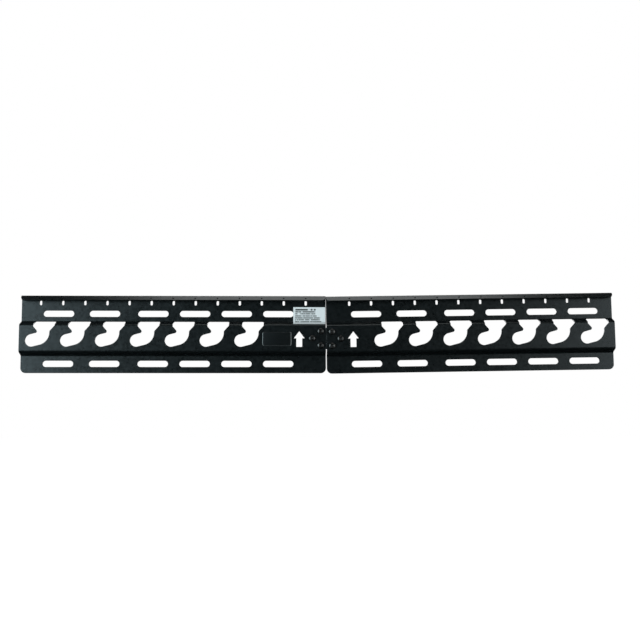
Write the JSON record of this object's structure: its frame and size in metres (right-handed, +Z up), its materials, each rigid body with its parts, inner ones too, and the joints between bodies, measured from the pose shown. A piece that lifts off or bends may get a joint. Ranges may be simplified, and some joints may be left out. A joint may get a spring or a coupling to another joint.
{
  "type": "tv wall mount plate",
  "caption": "Long folded steel wall plate of a television mount, in two bolted halves, with slots for wall screws, hook cutouts for television studs and a nail lip.",
  "frame": {"origin": "on the wall plane, at the seam end of the left half, level with its bottom edge", "axes": "+X along the plate to the right of someone facing the wall, +Y into the wall, +Z up"},
  "size_m": [0.8617, 0.0154, 0.1188],
  "materials": {
    "black_paint": "satin black powder coat",
    "dark_steel": "dark zinc plating",
    "label_film": "matt silver film",
    "black_film": "matt black"
  },
  "bodies": {
    "root": {"left_wall_plate": "black_paint", "right_wall_plate": "black_paint", "joining_plate": "black_paint", "joint_screw_1": "dark_steel", "joint_screw_2": "dark_steel", "joint_screw_3": "dark_steel", "joint_screw_4": "dark_steel", "joint_screw_5": "dark_steel", "joint_screw_6": "dark_steel", "joint_nut_1": "dark_steel", "joint_nut_2": "dark_steel", "joint_nut_3": "dark_steel", "joint_nut_4": "dark_steel", "joint_nut_5": "dark_steel", "joint_nut_6": "dark_steel", "blank_label": "label_film", "black_pad": "black_film"}
  },
  "joints": []
}
